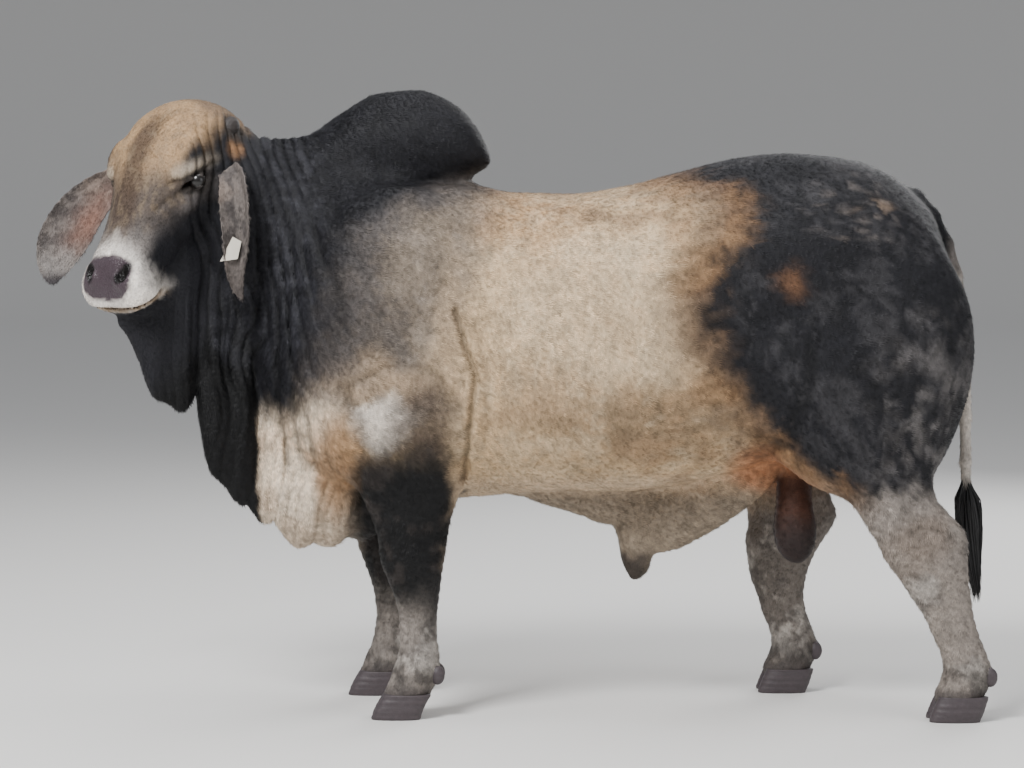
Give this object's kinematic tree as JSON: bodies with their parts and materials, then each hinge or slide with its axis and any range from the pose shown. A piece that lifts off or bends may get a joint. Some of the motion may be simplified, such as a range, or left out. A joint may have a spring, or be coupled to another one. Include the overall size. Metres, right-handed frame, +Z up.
{
  "type": "brahman bull life-size model",
  "caption": "Life-size brahman bull standing square, head turned to its left, with hump, dewlap, hanging ears, sheath and tail; a still display model.",
  "frame": {"origin": "centre of the bounding box at floor level, under the animal", "axes": "+Z up, the bull faces -X, its left side faces -Y"},
  "size_m": [2.4662, 0.699, 1.6089],
  "materials": {
    "hide_dark": "short slate-black coat over loose skin",
    "hide_slate": "short slate-grey coat that fades to tan",
    "hide_cream": "short cream and tan coat",
    "hide_pale": "short pale grey coat with darker mottling",
    "hide_face": "short tan and grey stippled coat",
    "ear_skin": "thin ear skin with short hair",
    "sheath_skin": "bare grey-tan skin",
    "purse_skin": "bare reddish dark skin",
    "switch_hair": "long straight black hair",
    "hoof": "dark grey horn, satin",
    "horn": "dark rough horn scar",
    "eye": "wet dark eye, opaque",
    "tag": "blank white plastic"
  },
  "bodies": {
    "root": {"head": "hide_face", "lower_jaw": "hide_pale", "eye_right": "eye", "horn_bud_right": "horn", "eye_left": "eye", "horn_bud_left": "horn", "ear_left": "ear_skin", "ear_right": "ear_skin", "ear_tag": "tag", "neck": "hide_dark", "dewlap_throat": "hide_dark", "dewlap_front": "hide_dark", "brisket": "hide_pale", "hump": "hide_dark", "chest": "hide_slate", "barrel": "hide_cream", "rump": "hide_dark", "sheath": "sheath_skin", "scrotum": "purse_skin", "foreleg_left_upper": "hide_dark", "foreleg_left_cannon": "hide_pale", "foreleg_left_pastern": "hide_pale", "foreleg_left_dewclaw_left": "hoof", "foreleg_left_claw_left": "hoof", "foreleg_left_dewclaw_right": "hoof", "foreleg_left_claw_right": "hoof", "foreleg_right_upper": "hide_dark", "foreleg_right_cannon": "hide_pale", "foreleg_right_pastern": "hide_pale", "foreleg_right_dewclaw_left": "hoof", "foreleg_right_claw_left": "hoof", "foreleg_right_dewclaw_right": "hoof", "foreleg_right_claw_right": "hoof", "hindleg_left_upper": "hide_pale", "hindleg_left_cannon": "hide_pale", "hindleg_left_pastern": "hide_pale", "hindleg_left_dewclaw_left": "hoof", "hindleg_left_claw_left": "hoof", "hindleg_left_dewclaw_right": "hoof", "hindleg_left_claw_right": "hoof", "hindleg_right_upper": "hide_pale", "hindleg_right_cannon": "hide_pale", "hindleg_right_pastern": "hide_pale", "hindleg_right_dewclaw_left": "hoof", "hindleg_right_claw_left": "hoof", "hindleg_right_dewclaw_right": "hoof", "hindleg_right_claw_right": "hoof", "tail_root": "hide_dark", "tail_middle": "hide_dark", "tail_lower": "hide_pale", "tail_switch": "switch_hair"}
  },
  "joints": []
}
